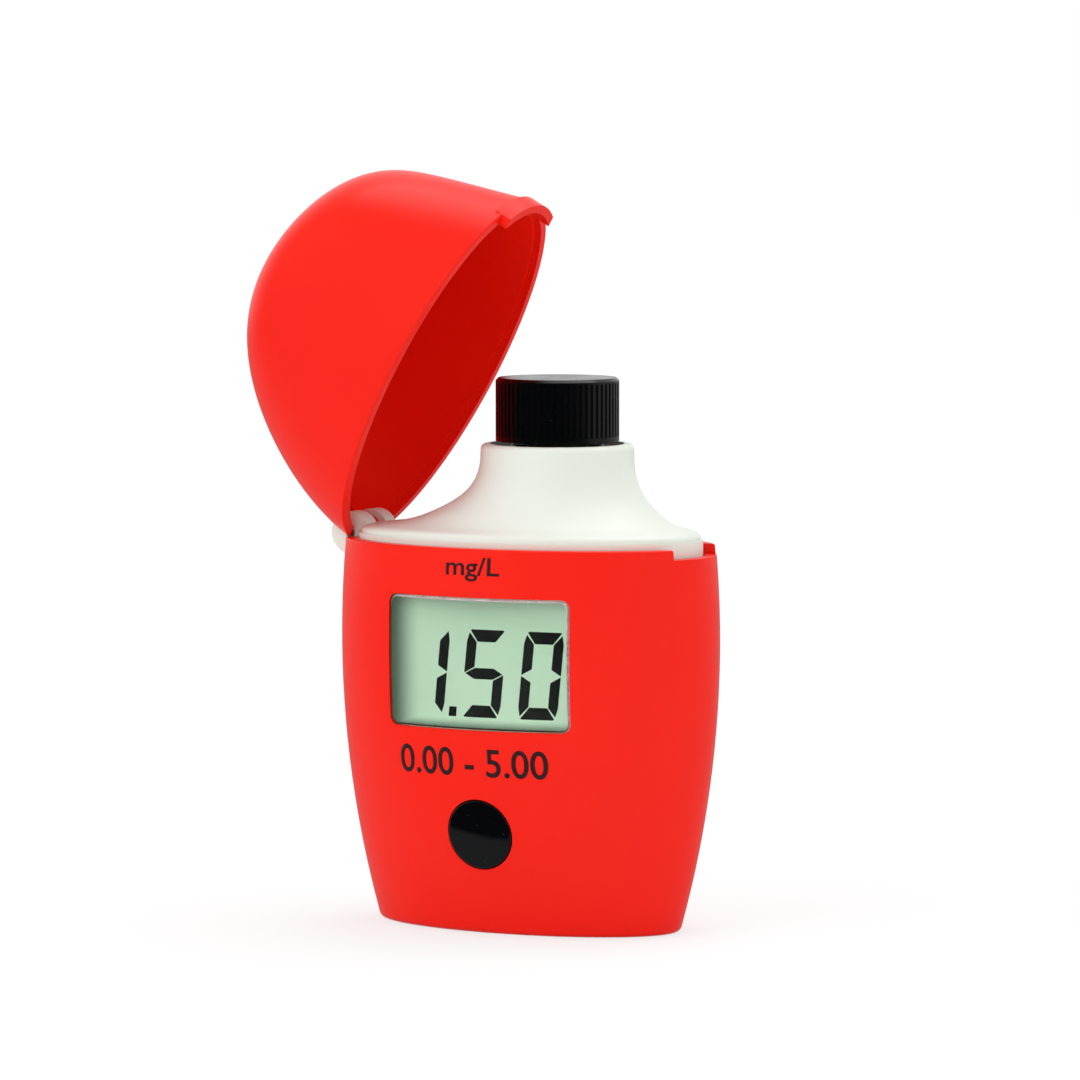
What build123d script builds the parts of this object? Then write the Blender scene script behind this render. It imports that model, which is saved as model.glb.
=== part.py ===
from build123d import *
import math
import os

# Portable colorimeter with its lid standing open, in millimetres.
# The display faces -Y, the hinge is at -X and the latch at +X. Z is up, and the origin
# is the centre of the base.

# Room that the casing leaves round what it holds
hinge_side_room = 8.6      # from the broadest point on the hinge side to the battery sleeve
sleeve_gap = 1.62          # from the sleeve to the cuvette well
latch_side_room = 15.42    # from the well to the broadest point on the latch side
tube_gap = 0.42            # from the main board to the well
back_room = 4.07           # from the detector board to the deepest point of the casing

# Casing
seam_level = 56.8          # where casing and lid meet
widest_drop = 14.3         # how far below the seam the casing is broadest
front_arc = 160.0          # radius of the sides, seen from the front
side_arc = 145.0           # radius of the front and back, seen from the side
wall = 1.8
floor_thickness = 2.0
base_round = 1.0
rim_round = 0.3            # outer edge of casing and lid at the seam, rounded and bevelled
casing_spans = 5           # lofted spans between the base and the seam
snug = 0.1                 # gap between fixed pieces that drop into each other

# Display
window_width = 29.3
window_height = 19.2
window_drop = 16.7         # centre of the window, below the seam
window_corner = 1.3
lens_bevel = 0.3
lcd_side_margin = 1.25     # how far the glass reaches past the window at each side
lcd_top_margin = 1.7
lcd_thickness = 2.0
lcd_depth = 4.75           # from the foremost point of the casing back to the glass
frame_margin = 0.6
frame_side_rail = 3.4      # rail of the frame behind the glass
frame_top_rail = 4.8
strip_inset = 1.9          # rubber strips, in from the edges of the glass
strip_height = 1.4
strip_edge = 1.3

# Button and switch
button_level = 15.0
button_radius = 5.1
button_gap = 0.15
button_proud = 0.25
button_edge = 0.35
button_flange_rim = 0.8
button_flange = 0.8
button_travel = 0.5
switch_size = 5.0
switch_height = 0.7
plunger_radius = 1.1

# Main board
board_thickness = 1.4
strip_thickness = 1.4      # depth between display glass and board
board_narrowing = 3.4      # each side of the board below the display
board_foot = 5.5           # how far the board reaches below the button's centre
board_step_gap = 0.2       # from the frame down to where the board narrows
board_head_gap = 1.6       # from the board up to the chassis flange
board_corner = 1.5
chip_size = 7.0
chip_thickness = 1.6
chip_inset = 5.9           # centre of the chip, in from the edge of the board
chip_drop = 4.6            # and below the centre of the window
small_part_count = 5
small_part_size = (1.6, 0.8, 2.4)
small_part_rise = 6.0      # above the centre of the button
small_part_pitch = 3.2

# Chassis: flange, tower and cuvette well in one moulding
flange_depth = 2.6         # below the seam
flange_lip = 0.8           # above the seam
lip_step = 0.4
tower_height = 14.35       # above the seam
tower_rim = 0.52           # from the well's tube to the outside of the tower, at the top
tower_bend = 3.2           # how fast the flanks fall away to the rim
tower_spans = 7
tower_edge = 0.8
tower_roof = 8.65          # solid top of the tower
well_wall = 0.9
well_bottom = 10.0
well_floor = 1.2
post_radius = 2.3
post_sink = 2.2            # how far the posts reach up past the seam into the tower
post_gap = 2.12            # from the well's tube to the line of the posts
post_spread = 4.2
screw_shank = 1.1
screw_head = 2.1
screw_head_depth = 1.1
screw_bite = 6.0
board_screw_drop = 5.5     # below the light path
board_screw_spread = 7.9
board_boss = 1.8
board_screw_shank = 0.75
board_screw_head = 1.6
board_screw_head_depth = 0.9
board_screw_bite = 3.0
screw_slot = 0.4           # width and depth of the slot in a screw head
seal_drop = 7.95           # below the top of the tower
seal_height = 1.4
seal_depth = 0.6

# Optics
beam_level = 30.0
lamp_radius = 1.5
lamp_height = 1.1
beam_hole = 2.0
barrel_radius = 4.6
filter_radius = 3.0
filter_thickness = 0.8
cell_size = 4.2
cell_thickness = 0.8
barrel_wall = 0.4          # between the well bore and the filter
detector_width = 10.0
detector_thickness = 0.8
detector_corner = 0.8

# Cuvette and cap
cuvette_radius = 9.8
cuvette_wall = 1.1
cuvette_floor = 1.6
well_clearance = 0.08
cuvette_stand = 0.05
shoulder_drop = 3.75       # below the top of the tower
neck_drop = 0.1
neck_radius = 6.6
neck_wall = 1.2
cap_rise = 0.4             # gap between the tower and the cap
cap_height = 9.3
cap_wall = 2.1
cap_crown = 1.1
cap_bevel = 0.4
cap_band = 0.7
cap_flutes = 60
flute_radius = 0.24
thread_gap = 0.4
liner_thickness = 0.5
liner_gap = 0.1

# Hinge
hinge_inset = 2.15         # of the pin, from the broadest point of the casing
hinge_rise = 0.5           # of the pin, above the seam
lug_radius = 3.15
lug_inner = 1.45
lug_outer = 4.4
lug_reach = 5.0            # how far the lug roots run into the flange
pin_radius = 0.8
pin_clearance = 0.05
pin_chamfer = 0.2
knuckle_radius = 2.3
knuckle_gap = 0.2
hinge_gap = 0.3
rim_relief = 0.35
rim_relief_half = 7.0
open_angle = 61.0

# Lid
lid_height = 31.0
lid_wall = 1.9
lid_gap = 0.15
rabbet_gap = 0.4           # between the chassis lip and the lid
rabbet_height = 1.2
hinge_end_power = 1.7      # rounding of the dome towards the hinge
latch_end_power = 8.0      # rounding of the dome towards the latch and the sides
latch_end_lean = 0.315     # share of the width lost up the latch end
latch_half = 7.0
latch_depth = 1.45
latch_gap = 0.12
latch_thickness = 1.3
dome_levels = (0, 0.12, 0.26, 0.4, 0.54, 0.67, 0.78, 0.87, 0.935, 0.975, 0.994)

# Battery
battery_y = 0.5
battery_radius = 5.25
battery_length = 43.6
battery_nub_radius = 1.9
battery_nub = 0.9
battery_gap = 0.2
sleeve_wall = 0.75
sleeve_crown = 0.8
contact_thickness = 0.4
contact_margin = 0.85
cover_reach = 9.8          # from the battery to the cover's screw
cover_rim = 0.4            # how far the cover reaches past the sleeve
cover_tip = 3.6            # half width of the cover at its screw
cover_thickness = 1.05
cover_recess = 1.4
cover_set_in = 0.25        # how far cover and screws sit above the base face
cover_gap = 0.15
cover_plug_gap = 0.25
cover_boss = 2.3
cover_boss_height = 5.6
cover_screw_shank = 1.0
cover_screw_head = 1.9
cover_screw_head_depth = 0.8
cover_screw_bite = 4.5
leaf_thickness = 0.3
leaf_rise = 3.2            # from the floor up to the battery
leaf_width = 4.0
leaf_half = 3.0
leaf_fold = 1.5            # how far short of the strip's end it folds back
leaf_curl = 0.3
far = 40.0                 # reach of cuts that pass right out of the model

# Across the casing: sleeve, well and the outline round them
bore_radius = cuvette_radius + well_clearance
tube_radius = bore_radius + well_wall
tower_radius = tube_radius + tower_rim
sleeve_inner = battery_radius + battery_gap
sleeve_outer = sleeve_inner + sleeve_wall
held_width = 2 * sleeve_outer + sleeve_gap + 2 * tube_radius
body_width = hinge_side_room + held_width + latch_side_room
battery_x = hinge_side_room + sleeve_outer - body_width / 2
well_x = body_width / 2 - latch_side_room - tube_radius
post_x = well_x + tube_radius + post_gap
cover_screw_x = battery_x + cover_reach
cover_half = sleeve_outer + cover_rim
hinge_x = hinge_inset - body_width / 2

# From the front to the back: display, board, well, filter and photocell
display_stack = lcd_depth + lcd_thickness + strip_thickness + board_thickness
well_stack = tube_gap + tube_radius + bore_radius + barrel_wall
cell_stack = filter_thickness + cell_thickness + detector_thickness
body_depth = display_stack + well_stack + cell_stack + back_room
lcd_plane = lcd_depth - body_depth / 2
lcd_back = lcd_plane + lcd_thickness
board_front = lcd_back + strip_thickness
board_back = board_front + board_thickness
well_y = board_back + tube_gap + tube_radius
filter_front = well_y + bore_radius + barrel_wall
cell_front = filter_front + filter_thickness
barrel_back = cell_front + cell_thickness

# Levels
widest_level = seam_level - widest_drop
flange_bottom = seam_level - flange_depth
lip_top = seam_level + flange_lip
tower_top = seam_level + tower_height
post_top = seam_level + post_sink
window_centre = seam_level - window_drop
hinge_z = seam_level + hinge_rise
well_stand = well_bottom + well_floor
shoulder_level = tower_top - shoulder_drop
neck_level = tower_top - neck_drop
cap_bottom = tower_top + cap_rise
cap_top = cap_bottom + cap_height
cap_inside = cap_top - cap_crown
cuvette_top = cap_inside - liner_thickness - liner_gap
seal_level = tower_top - seal_drop
battery_base = floor_thickness + leaf_rise
battery_top = battery_base + battery_length + battery_nub
board_top = flange_bottom - board_head_gap
board_bottom = button_level - board_foot

# Outlines that neighbours share
lcd_width = window_width + 2 * lcd_side_margin
lcd_height = window_height + 2 * lcd_top_margin
frame_width = lcd_width + 2 * frame_margin
frame_height = lcd_height + 2 * frame_margin
board_width = frame_width - 2 * snug
board_step = window_centre - frame_height / 2 - board_step_gap
slot_half = lug_outer + snug
cap_radius = neck_radius + thread_gap + cap_wall


def bulge(radius, level):
    return radius - math.sqrt(radius**2 - (level - widest_level) ** 2)


def half_width(level):
    return body_width / 2 - bulge(front_arc, level)


def half_depth(level):
    return body_depth / 2 - bulge(side_arc, level)


def casing_form(bottom, top, inset=0):
    step = (top - bottom) / casing_spans
    levels = [bottom + step * i for i in range(casing_spans + 1)]
    return loft([Pos(0, 0, z) * Ellipse(half_width(z) - inset, half_depth(z) - inset) for z in levels])


def upright(outline, bottom, top):
    return extrude(Pos(0, 0, bottom) * outline, amount=top - bottom)


def facing(outline, front, back):
    plane = Plane(origin=(0, back, 0), x_dir=(1, 0, 0), z_dir=(0, -1, 0))
    return extrude(plane * outline, amount=back - front)


def well_disc(radius):
    return Pos(well_x, well_y) * Circle(radius)


def battery_disc(radius):
    return Pos(battery_x, battery_y) * Circle(radius)


def hinge_disc(radius):
    return Pos(hinge_x, hinge_z) * Circle(radius)


def turned(points, x, y):
    profile = make_face(Polyline(*points, close=True))
    return Pos(x, y, 0) * revolve(Plane.XZ * profile, Axis.Z)


def headed_screw(shank, head, head_depth, bite):
    head_cone = loft([Circle(head), Pos(0, 0, head_depth) * Circle(shank)])
    return head_cone + extrude(Pos(0, 0, head_depth) * Circle(shank), amount=bite)


def cover_screw(gap=0.0):
    screw = headed_screw(
        cover_screw_shank + gap, cover_screw_head - snug + gap, cover_screw_head_depth, cover_screw_bite)
    return Pos(cover_screw_x, battery_y, cover_set_in) * screw


def chassis_screw(place):
    screw = headed_screw(screw_shank, screw_head, screw_head_depth, screw_bite)
    return Pos(place[0], place[1], cover_set_in) * screw


post_places = [(post_x, -post_spread), (post_x, post_spread)]
board_screw_level = beam_level - board_screw_drop
board_screw_places = [(well_x + side * board_screw_spread, board_screw_level) for side in (-1, 1)]
window_outline = Pos(0, window_centre) * RectangleRounded(window_width, window_height, window_corner)


# Battery cover outline, a teardrop that narrows from the battery to the screw
def cover_outline(gap=0.0):
    round_end = battery_disc(cover_half + gap)
    screw_end = Pos(cover_screw_x, battery_y) * Circle(cover_tip + gap)
    return make_hull((round_end + screw_end).edges())


# Red casing: an oval shell that bulges in both views
def make_body_shell():
    outer = casing_form(0, seam_level)
    outer = fillet(outer.edges().group_by(Axis.Z)[0], base_round)
    outer = fillet(outer.edges().group_by(Axis.Z)[-1], rim_round)
    shell = outer - casing_form(floor_thickness, seam_level, wall)
    shell -= facing(offset(window_outline, snug), -far, 0)
    pocket = Pos(0, window_centre) * Rectangle(lcd_width + 2 * snug, lcd_height + 2 * snug)
    shell -= facing(pocket, lcd_plane - snug, 0)
    shell -= facing(Pos(0, button_level) * Circle(button_radius + button_gap), -far, 0)
    notch = Pos(half_width(seam_level), 0) * Rectangle(2 * wall + latch_half, 2 * latch_half)
    shell -= upright(notch, seam_level - latch_depth, seam_level)
    slot = Pos(-half_width(seam_level), 0) * Rectangle(4 * wall, 2 * slot_half)
    shell -= upright(slot, hinge_z - lug_radius - snug, seam_level)
    relief = facing(hinge_disc(hinge_z - seam_level + rim_relief), -rim_relief_half, rim_relief_half)
    shell -= relief
    boss_top = floor_thickness + cover_boss_height
    shell += upright(Pos(cover_screw_x, battery_y) * Circle(cover_boss), cover_recess, boss_top)
    shell -= upright(cover_outline(cover_gap), 0, cover_recess)
    shell -= upright(battery_disc(sleeve_inner), 0, floor_thickness)
    pilot = Pos(cover_screw_x, battery_y) * Circle(cover_screw_shank)
    shell -= upright(pilot, 0, boss_top)
    for place in post_places:
        shell -= upright(Pos(place) * Circle(screw_head), 0, cover_set_in)
        shell -= chassis_screw(place)
    return shell


# One level of the tower: the rim oval shrinks to a circle and drifts over the well
def tower_section(share, inset=0.0, drop=0.0):
    stay = (1 - share) ** tower_bend
    rim_x = half_width(seam_level) - wall - snug - lip_step
    rim_y = half_depth(seam_level) - wall - snug - lip_step
    half_x = tower_radius + (rim_x - tower_radius) * stay - inset
    half_y = tower_radius + (rim_y - tower_radius) * stay - inset
    level = lip_top + (tower_top - lip_top) * share - drop
    return Pos(well_x * (1 - stay), well_y * (1 - stay), level) * Ellipse(half_x, half_y)


def flange_oval(inset=0.0):
    reach = wall + snug + inset
    return Ellipse(half_width(seam_level) - reach, half_depth(seam_level) - reach)


# White moulding: flange, concave tower, cuvette well, hinge lugs, posts and bosses
def make_chassis():
    tower = loft([tower_section(i / tower_spans) for i in range(tower_spans + 1)])
    tower = fillet(tower.edges().group_by(Axis.Z)[-1], tower_edge)
    body = upright(flange_oval(), flange_bottom, lip_top) + tower
    hollow_shares = [i / tower_spans for i in range(tower_spans - 1)]
    hollow = loft([tower_section(share, wall, wall) for share in hollow_shares])
    hollow &= upright(Circle(far), 0, tower_top - tower_roof)
    body -= hollow
    body -= upright(flange_oval(wall + lip_step), flange_bottom, lip_top - wall)
    body += upright(well_disc(tube_radius), well_bottom, tower_top - tower_edge)
    for place in post_places:
        body += upright(Pos(place) * Circle(post_radius), floor_thickness, post_top)
    for x, z in board_screw_places:
        body += facing(Pos(x, z) * Circle(board_boss), board_back, well_y)
    body += facing(Pos(well_x, beam_level) * Circle(barrel_radius), well_y, barrel_back)
    body += make_lugs()
    knuckle_room = hinge_disc(knuckle_radius + hinge_gap)
    arm_room = Rectangle(2 * (knuckle_radius + hinge_gap), 2 * lug_radius)
    knuckle_room += Pos(hinge_x, hinge_z + lug_radius) * arm_room
    body -= facing(knuckle_room, -lug_inner, lug_inner)
    body -= facing(hinge_disc(pin_radius), -lug_outer, lug_outer)
    body -= upright(well_disc(bore_radius), well_stand, tower_top)
    body -= upright(well_disc(bore_radius + seal_depth), seal_level, seal_level + seal_height)
    body -= facing(Pos(well_x, beam_level) * Circle(beam_hole), board_back, barrel_back)
    body -= facing(Pos(well_x, beam_level) * Circle(filter_radius + snug), filter_front, barrel_back)
    for place in post_places:
        body -= chassis_screw(place)
    for x, z in board_screw_places:
        body -= facing(Pos(x, z) * Circle(board_screw_shank), board_back, board_back + board_screw_bite)
    return body


def make_lugs():
    root = Pos(hinge_x + lug_reach / 2, flange_bottom + flange_depth / 2)
    profile = hinge_disc(lug_radius) + root * Rectangle(lug_reach, flange_depth)
    lugs = facing(profile, -lug_outer, lug_outer)
    return lugs - facing(hinge_disc(lug_radius + hinge_gap), -lug_inner, lug_inner)


def make_hinge_pin():
    pin = facing(hinge_disc(pin_radius), -lug_outer, lug_outer)
    return chamfer(pin.edges().filter_by(GeomType.CIRCLE), pin_chamfer)


# One level of the lid, which leans at the latch end and rounds over at the top
def dome_section(share, inset):
    left = (half_width(seam_level) - inset) * math.sqrt(1 - share**hinge_end_power)
    shoulder = math.sqrt(1 - share**latch_end_power)
    right = (half_width(seam_level) - inset) * (1 - latch_end_lean * share) * shoulder
    half_y = (half_depth(seam_level) - inset) * shoulder
    level = seam_level + lid_gap + (lid_height - lid_gap - inset) * share
    return Pos((right - left) / 2, 0, level) * Ellipse((left + right) / 2, half_y)


def dome_form(inset=0.0):
    peak = Vertex(0, 0, seam_level + lid_height - inset)
    return loft([dome_section(share, inset) for share in dome_levels] + [peak])


# Red lid in its closed place
def make_closed_lid():
    outer = dome_form()
    lid = outer - dome_form(lid_wall)
    inner_x = half_width(seam_level) - wall - snug + rabbet_gap
    inner_y = half_depth(seam_level) - wall - snug + rabbet_gap
    rim = seam_level + lid_gap
    lid -= upright(Ellipse(inner_x, inner_y), rim, rim + rabbet_height)
    rim_ring = Ellipse(half_width(seam_level), half_depth(seam_level))
    rim_foot = Ellipse(half_width(seam_level) - rim_round, half_depth(seam_level) - rim_round)
    rim_wide = Ellipse(half_width(seam_level) + rim_round, half_depth(seam_level) + rim_round)
    bevel = loft([Pos(0, 0, rim) * rim_foot, Pos(0, 0, rim + 2 * rim_round) * rim_wide])
    lid -= upright(Circle(far), rim, rim + 2 * rim_round) - bevel
    rim_ring -= Ellipse(half_width(seam_level) - latch_thickness, half_depth(seam_level) - latch_thickness)
    latch_face = Pos(half_width(seam_level), 0) * Rectangle(
        2 * wall + latch_half, 2 * (latch_half - latch_gap))
    latch_bottom = seam_level - latch_depth + latch_gap
    lid += upright(rim_ring & latch_face, latch_bottom, rim + rabbet_height)
    lid -= facing(hinge_disc(lug_radius + hinge_gap), -slot_half - knuckle_gap, slot_half + knuckle_gap)
    knuckle_half = lug_inner - knuckle_gap
    arm = Pos(hinge_x, hinge_z + lug_radius) * Rectangle(2 * knuckle_radius, 2 * lug_radius)
    knuckle = facing(arm, -knuckle_half, knuckle_half) & outer
    knuckle += facing(hinge_disc(knuckle_radius), -knuckle_half, knuckle_half)
    lid += knuckle
    return lid - facing(hinge_disc(pin_radius + pin_clearance), -knuckle_half, knuckle_half)


def make_lid():
    hinge_line = Axis((hinge_x, 0, hinge_z), (0, -1, 0))
    return make_closed_lid().rotate(hinge_line, open_angle)


# Glass cuvette whose shoulder rounds into the neck that carries the cap
def make_cuvette():
    base = well_stand + cuvette_stand
    inner = cuvette_radius - cuvette_wall
    throat = neck_radius - neck_wall
    outline = [(0, base), (cuvette_radius, base), (cuvette_radius, shoulder_level),
               (neck_radius, neck_level), (neck_radius, cuvette_top), (throat, cuvette_top),
               (throat, neck_level - cuvette_wall),
               (inner, shoulder_level - cuvette_wall), (inner, base + cuvette_floor),
               (0, base + cuvette_floor)]
    glass = turned(outline, well_x, well_y)
    shoulder = glass.edges().filter_by(GeomType.CIRCLE).filter_by(
        lambda edge: abs(edge.radius - cuvette_radius) < snug and edge.center().Z > base)
    return fillet(shoulder, cuvette_wall)


# Ribbed screw cap
def make_cuvette_cap():
    ring = well_disc(cap_radius)
    cap = upright(ring, cap_bottom, cap_top)
    cap = chamfer(cap.edges().group_by(Axis.Z)[-1], cap_bevel)
    flute = Pos(well_x, well_y) * PolarLocations(cap_radius, cap_flutes) * Circle(flute_radius)
    cap -= upright(Sketch() + flute, cap_bottom + cap_band, cap_top - cap_band)
    return cap - upright(well_disc(neck_radius + thread_gap), cap_bottom, cap_inside)


def make_cap_liner():
    return upright(well_disc(neck_radius), cap_inside - liner_thickness, cap_inside)


def make_well_seal():
    ring = well_disc(bore_radius + seal_depth) - well_disc(bore_radius - well_clearance / 2)
    return upright(ring, seal_level, seal_level + seal_height)


# Clear lens: its face follows the casing and its back lies flat on the display
def make_display_window():
    block = facing(window_outline, -far, lcd_plane - snug)
    lens = block & casing_form(0, seam_level, snug)
    return chamfer(lens.edges().group_by(Axis.Y)[0], lens_bevel)


def make_lcd_glass():
    return facing(Pos(0, window_centre) * Rectangle(lcd_width, lcd_height), lcd_plane, lcd_back)


def strip_outline(gap=0.0):
    strip = Rectangle(lcd_width - 2 * strip_inset + 2 * gap, strip_height + 2 * gap)
    reach = lcd_height / 2 - strip_edge - strip_height / 2
    places = [Pos(0, window_centre + side * reach) for side in (-1, 1)]
    return Sketch() + [place * strip for place in places]


def make_lcd_frame():
    face = Pos(0, window_centre) * RectangleRounded(frame_width, frame_height, frame_margin)
    opening = Rectangle(lcd_width - 2 * frame_side_rail, lcd_height - 2 * frame_top_rail)
    face -= Pos(0, window_centre) * opening
    face -= strip_outline(snug)
    return facing(face, lcd_back, board_front)


def make_contact_strips():
    return facing(strip_outline(), lcd_back, board_front)


def make_main_board():
    upper_height = board_top - board_step
    upper = Pos(0, board_step + upper_height / 2) * Rectangle(board_width, upper_height)
    lower_height = board_step - board_bottom
    lower_width = board_width - 2 * board_narrowing
    lower = Pos(0, board_bottom + lower_height / 2) * Rectangle(lower_width, lower_height)
    outline = upper + lower
    board = facing(outline, board_front, board_back)
    corners = board.edges().filter_by(Axis.Y).group_by(Axis.Z)
    board = fillet(corners[0] + corners[-1], board_corner)
    for x, z in board_screw_places:
        board -= facing(Pos(x, z) * Circle(board_screw_shank + snug), board_front, board_back)
    return board


def make_board_chip():
    place = Pos(chip_inset - board_width / 2, window_centre - chip_drop)
    return facing(place * Rectangle(chip_size, chip_size), board_back, board_back + chip_thickness)


def make_board_parts():
    width, depth, height = small_part_size
    first = -(small_part_count - 1) / 2 * small_part_pitch
    level = button_level + small_part_rise
    row = [Pos(first + i * small_part_pitch, level) for i in range(small_part_count)]
    outline = Sketch() + [place * Rectangle(width, height) for place in row]
    return facing(outline, board_front - depth, board_front)


def make_board_screws():
    screws = Part()
    for x, z in board_screw_places:
        place = Pos(x, z)
        front = board_front - board_screw_head_depth
        head = facing(place * Circle(board_screw_head), front, board_front)
        head -= facing(place * Rectangle(2 * board_screw_head, screw_slot), front, front + screw_slot)
        shank = facing(place * Circle(board_screw_shank), board_front, board_back + board_screw_bite)
        screws += head + shank
    return screws


# Push button: its face follows the casing, and a flange holds it in from behind
def make_button():
    face = Pos(0, button_level) * Circle(button_radius)
    flange_back = board_front - switch_height - button_travel - snug
    cap = facing(face, -far, flange_back) & casing_form(0, seam_level, -button_proud)
    cap = fillet(cap.edges().group_by(Axis.Y)[0], button_edge)
    flange = Pos(0, button_level) * Circle(button_radius + button_flange_rim)
    return cap + facing(flange, flange_back - button_flange, flange_back)


def make_tact_switch():
    outline = Pos(0, button_level) * Rectangle(switch_size, switch_size)
    outline -= Pos(0, button_level) * Circle(plunger_radius + snug)
    return facing(outline, board_front - switch_height, board_front)


def make_switch_plunger():
    flange_back = board_front - switch_height - button_travel - snug
    stem = Pos(0, button_level) * Circle(plunger_radius)
    return facing(stem, flange_back, board_front - button_travel - snug)


def make_chassis_screws():
    screws = Part()
    for place in post_places:
        screws += chassis_screw(place)
    return screws


def make_light_source():
    lamp = facing(Pos(well_x, beam_level) * Circle(lamp_radius), board_back, board_back + lamp_height)
    return fillet(lamp.edges().group_by(Axis.Y)[-1], lamp_height / 2)


def make_optical_filter():
    return facing(Pos(well_x, beam_level) * Circle(filter_radius), filter_front, cell_front)


def make_photocell():
    return facing(Pos(well_x, beam_level) * Rectangle(cell_size, cell_size), cell_front, barrel_back)


def make_detector_board():
    outline = RectangleRounded(detector_width, detector_width, detector_corner)
    place = Pos(well_x, beam_level)
    return facing(place * outline, barrel_back, barrel_back + detector_thickness)


def make_battery():
    top = battery_base + battery_length
    outline = [(0, battery_base), (battery_radius, battery_base), (battery_radius, top),
               (battery_nub_radius, top), (battery_nub_radius, battery_top), (0, battery_top)]
    return turned(outline, battery_x, battery_y)


def make_battery_sleeve():
    inside = battery_top + snug + contact_thickness
    sleeve = upright(battery_disc(sleeve_outer), floor_thickness, inside + sleeve_crown)
    return sleeve - upright(battery_disc(sleeve_inner), floor_thickness, inside)


def make_top_contact():
    inside = battery_top + snug + contact_thickness
    return upright(battery_disc(battery_radius - contact_margin), inside - contact_thickness, inside)


def make_battery_cover():
    cover = upright(cover_outline(), cover_set_in, cover_set_in + cover_thickness)
    cover += upright(battery_disc(sleeve_inner - cover_plug_gap), cover_set_in, floor_thickness)
    return cover - cover_screw(snug)


# Folded leaf that presses the battery upwards
def make_leaf_contact():
    low = floor_thickness + leaf_thickness / 2
    high = battery_base - leaf_thickness
    bends = [(-leaf_half, low), (leaf_half, low), (leaf_fold - leaf_half, high),
             (-leaf_half, high - leaf_curl)]
    strip = Pos(battery_x, 0) * trace(Polyline(*bends), leaf_thickness)
    return facing(strip, battery_y - leaf_width / 2, battery_y + leaf_width / 2)


makers = {
    "body_shell": make_body_shell,
    "chassis": make_chassis,
    "hinge_pin": make_hinge_pin,
    "lid": make_lid,
    "cuvette": make_cuvette,
    "cuvette_cap": make_cuvette_cap,
    "cap_liner": make_cap_liner,
    "well_seal": make_well_seal,
    "display_window": make_display_window,
    "lcd_glass": make_lcd_glass,
    "lcd_frame": make_lcd_frame,
    "lcd_contact_strips": make_contact_strips,
    "main_board": make_main_board,
    "board_chip": make_board_chip,
    "board_small_parts": make_board_parts,
    "board_screws": make_board_screws,
    "button": make_button,
    "tact_switch": make_tact_switch,
    "switch_plunger": make_switch_plunger,
    "chassis_screws": make_chassis_screws,
    "light_source": make_light_source,
    "optical_filter": make_optical_filter,
    "photocell": make_photocell,
    "detector_board": make_detector_board,
    "battery": make_battery,
    "battery_sleeve": make_battery_sleeve,
    "battery_top_contact": make_top_contact,
    "battery_leaf_contact": make_leaf_contact,
    "battery_cover": make_battery_cover,
    "battery_cover_screw": cover_screw,
}

os.makedirs("parts", exist_ok=True)
for name, maker in makers.items():
    export_step(maker(), "parts/" + name + ".step")
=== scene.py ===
import bmesh
import bpy
import math
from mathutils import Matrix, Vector


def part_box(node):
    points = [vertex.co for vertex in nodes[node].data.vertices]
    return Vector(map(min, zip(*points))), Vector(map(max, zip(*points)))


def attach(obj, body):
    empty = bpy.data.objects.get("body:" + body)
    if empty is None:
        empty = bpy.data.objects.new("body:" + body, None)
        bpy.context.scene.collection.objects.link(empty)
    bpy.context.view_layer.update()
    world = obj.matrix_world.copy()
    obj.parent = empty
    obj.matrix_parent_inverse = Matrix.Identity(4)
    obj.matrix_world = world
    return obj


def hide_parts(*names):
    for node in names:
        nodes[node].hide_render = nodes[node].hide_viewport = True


# Looks of the portable colorimeter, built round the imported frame. Metres, Z up.
# The display faces -Y, the hinge is at -X and the latch at +X.
# The dictionaries give each piece's sizes in millimetres, and the floor and camera in metres.

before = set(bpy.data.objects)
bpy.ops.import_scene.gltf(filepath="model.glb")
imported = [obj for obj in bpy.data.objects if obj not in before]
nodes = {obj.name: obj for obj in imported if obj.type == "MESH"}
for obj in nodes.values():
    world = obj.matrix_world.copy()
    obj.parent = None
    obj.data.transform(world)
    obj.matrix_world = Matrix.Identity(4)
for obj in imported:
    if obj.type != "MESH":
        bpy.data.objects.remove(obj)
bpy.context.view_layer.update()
scene = bpy.context.scene
mm = 0.001
print("frame loaded:", len(nodes), "nodes")


# Node helpers, for shaders and Geometry Nodes alike

def screenColor(red, green, blue):
    # a colour as it is seen on screen, turned into the linear values that shaders take
    def linear(value):
        share = value / 255
        return share / 12.92 if share <= 0.04045 else ((share + 0.055) / 1.055) ** 2.4
    return (linear(red), linear(green), linear(blue), 1.0)


def scaledColor(color, factor):
    return tuple(share * factor for share in color[:3]) + (1.0,)


def addNode(tree, kind, **settings):
    node = tree.nodes.new(kind)
    for key, value in settings.items():
        setattr(node, key, value)
    return node


def feed(tree, node, values):
    # each value is a number, a colour or the output of another node
    for key, value in values.items():
        if isinstance(value, bpy.types.NodeSocket):
            tree.links.new(value, node.inputs[key])
        else:
            node.inputs[key].default_value = value
    return node


def compute(tree, operation, first, second):
    node = addNode(tree, "ShaderNodeMath", operation=operation)
    return feed(tree, node, {0: first, 1: second}).outputs["Value"]


def mapRange(tree, value, start, end, low, high, shape="LINEAR"):
    # what lies from start to end becomes low to high, and goes no further
    node = addNode(tree, "ShaderNodeMapRange", clamp=True, interpolation_type=shape)
    feed(tree, node, {"Value": value, "From Min": start, "From Max": end,
                      "To Min": low, "To Max": high})
    return node.outputs["Result"]


def mixColors(tree, factor, first, second):
    node = addNode(tree, "ShaderNodeMix", data_type="RGBA")
    return feed(tree, node, {"Factor": factor, "A": first, "B": second}).outputs["Result"]


def blendShaders(tree, factor, first, second):
    node = addNode(tree, "ShaderNodeMixShader")
    return feed(tree, node, {"Fac": factor, 1: first, 2: second}).outputs["Shader"]


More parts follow.
